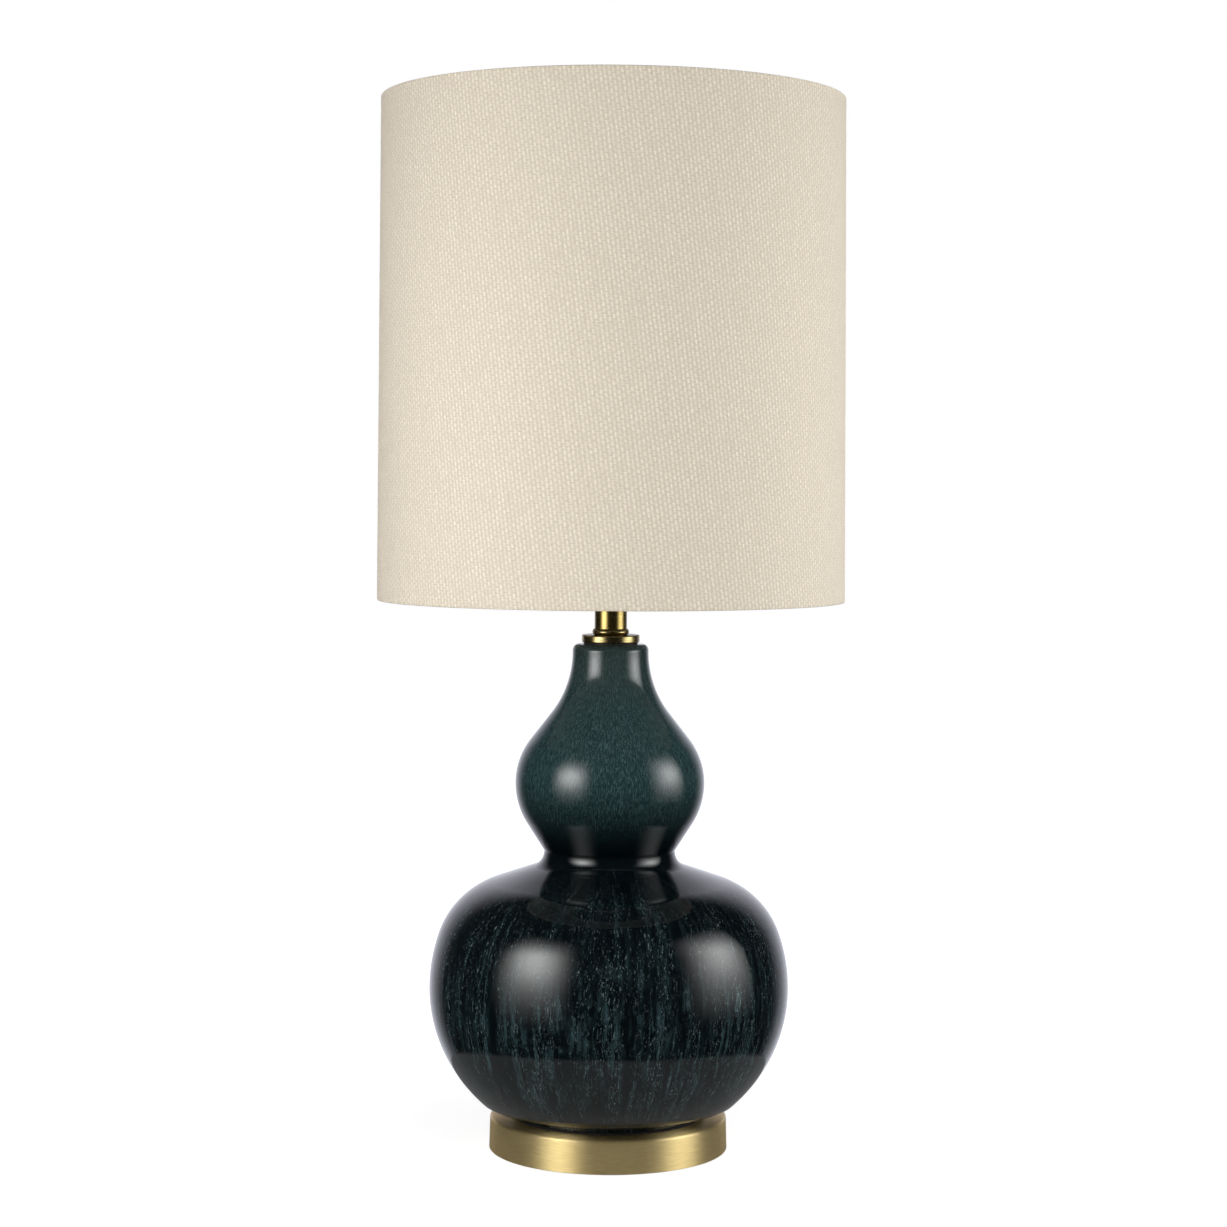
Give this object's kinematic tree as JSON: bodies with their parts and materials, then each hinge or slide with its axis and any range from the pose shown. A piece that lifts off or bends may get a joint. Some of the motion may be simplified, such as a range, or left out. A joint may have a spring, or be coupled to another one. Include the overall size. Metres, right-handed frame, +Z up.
{
  "type": "table lamp",
  "caption": "Table lamp with a double gourd glazed ceramic body on a round brass plinth, a harp, a turn-knob socket and a tall cloth drum shade.",
  "frame": {"origin": "centre of the lamp's underside, on the table, on the lamp's axis", "axes": "+Z up along the lamp's axis; -Y is the front, which the switch knob faces; the cord inlet is at the rear, +Y"},
  "size_m": [0.3048, 0.3048, 0.6932],
  "materials": {
    "antique_brass": "brushed antique brass under a clear lacquer",
    "plated_brass": "brass plating, satin",
    "glazed_ceramic": "glazed ceramic, high gloss",
    "zinc_steel": "bright zinc plate",
    "black_plastic": "moulded nylon",
    "bakelite": "moulded phenolic",
    "black_rubber": "die-cut rubber",
    "felt": "pressed wool felt",
    "hardboard": "hardboard",
    "card": "fibre insulating card",
    "aluminium": "rolled aluminium",
    "solder": "solder",
    "black_glass": "vitrite glass",
    "nickel_brass": "nickel plated",
    "frosted_glass": "soft white glass",
    "shade_cloth": "coarse basket weave cloth",
    "shade_liner": "white styrene lining"
  },
  "bodies": {
    "lamp_body": {"base_plinth": "antique_brass", "bottom_board": "hardboard", "base_felt": "felt", "base_washer": "zinc_steel", "base_lock_washer": "zinc_steel", "base_nut": "zinc_steel", "cord_bushing": "black_plastic", "foot_gasket": "black_rubber", "gourd_body": "glazed_ceramic", "cap_gasket": "black_rubber", "vase_cap": "antique_brass", "check_ring": "antique_brass", "neck_tube": "antique_brass", "neck_washer": "antique_brass", "threaded_rod": "zinc_steel", "harp_saddle": "plated_brass", "saddle_nut": "plated_brass", "harp_bow": "plated_brass", "socket_cap": "plated_brass", "socket_set_screw": "zinc_steel", "socket_shell": "plated_brass", "socket_liner": "card", "socket_core": "bakelite", "terminal_screws": "plated_brass", "screw_shell": "aluminium", "centre_contact": "plated_brass"},
    "switch": {"switch_shaft": "zinc_steel", "switch_knob": "bakelite"},
    "sleeve_left": {"harp_sleeve_left": "plated_brass"},
    "sleeve_right": {"harp_sleeve_right": "plated_brass"},
    "bulb_seat": {"bulb_contact": "solder"},
    "bulb": {"bulb_insulator": "black_glass", "bulb_cap": "nickel_brass", "bulb_glass": "frosted_glass"},
    "harp_swivel": {"harp_stud": "plated_brass"},
    "shade": {"shade_fabric": "shade_cloth", "shade_liner": "shade_liner", "shade_top_ring": "plated_brass", "shade_bottom_ring": "plated_brass", "shade_spider": "plated_brass"},
    "finial": {"finial_knob": "antique_brass"},
    "finial_seat": {"finial_base": "antique_brass"}
  },
  "joints": [
    {"name": "switch_turn", "type": "hinge", "parent": "lamp_body", "child": "switch", "pos_m": [0, -0.0252, 0.397], "axis": [0, 1, 0], "continuous": true},
    {"name": "sleeve_left_lift", "type": "slide", "parent": "lamp_body", "child": "sleeve_left", "axis": [0, 0, 1], "range_m": [0, 0.024]},
    {"name": "sleeve_right_lift", "type": "slide", "parent": "lamp_body", "child": "sleeve_right", "axis": [0, 0, 1], "range_m": [0, 0.024]},
    {"name": "bulb_rise", "type": "slide", "parent": "lamp_body", "child": "bulb_seat", "axis": [0, 0, 1], "range_m": [0, 0.02]},
    {"name": "bulb_turn", "type": "hinge", "parent": "bulb_seat", "child": "bulb", "pos_m": [0, 0, 0.42], "axis": [0, 0, 1], "range_deg": [0, 1980]},
    {"name": "shade_turn", "type": "hinge", "parent": "lamp_body", "child": "harp_swivel", "pos_m": [0, 0, 0.6708], "axis": [0, 0, 1], "continuous": true},
    {"name": "shade_lift", "type": "slide", "parent": "harp_swivel", "child": "shade", "axis": [0, 0, 1], "range_m": [0, 0.34]},
    {"name": "finial_rise", "type": "slide", "parent": "shade", "child": "finial_seat", "axis": [0, 0, 1], "range_m": [0, 0.0095]},
    {"name": "finial_turn", "type": "hinge", "parent": "finial_seat", "child": "finial", "pos_m": [0, 0, 0.6782], "axis": [0, 0, 1], "range_deg": [0, 3600]}
  ],
  "couplings": [
    {"joint": "bulb_rise", "follows": "bulb_turn", "m_per_rad": 0.00057757},
    {"joint": "finial_rise", "follows": "finial_turn", "m_per_rad": 0.00014972}
  ]
}
